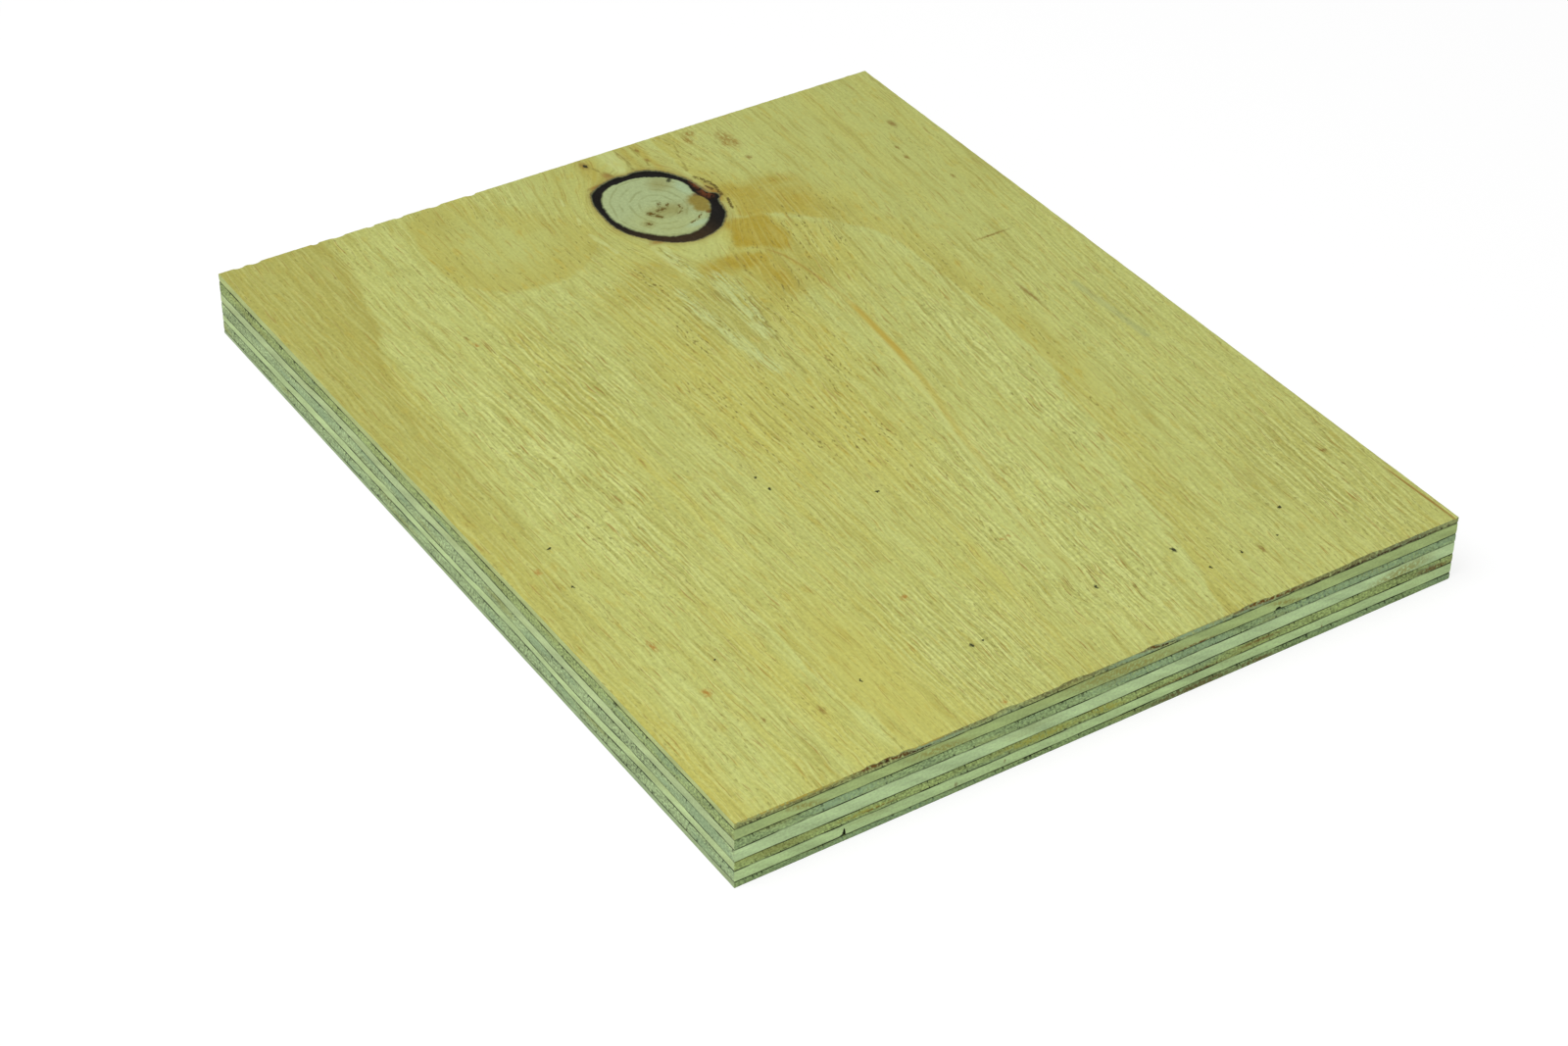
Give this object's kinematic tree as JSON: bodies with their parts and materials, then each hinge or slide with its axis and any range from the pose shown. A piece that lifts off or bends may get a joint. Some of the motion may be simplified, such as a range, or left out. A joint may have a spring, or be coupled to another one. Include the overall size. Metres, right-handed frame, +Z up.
{
  "type": "plywood sheet",
  "caption": "Flat rectangular softwood plywood panel of cross-laid veneers, with a ringed knot in its face, for sheathing, flooring or joinery.",
  "frame": {"origin": "under the middle of the panel, on the plane that it lies on", "axes": "+X across the face grain, +Y along the face grain and the panel's length, +Z up through the face"},
  "size_m": [0.196, 0.243, 0.018],
  "materials": {
    "face_veneer": "matte",
    "crossband": "matte",
    "core": "matte",
    "back_veneer": "matte"
  },
  "bodies": {
    "root": {"face_veneer": "face_veneer", "upper_crossband": "crossband", "upper_core": "core", "centre_crossband": "crossband", "lower_core": "core", "lower_crossband": "crossband", "back_veneer": "back_veneer"}
  },
  "joints": []
}
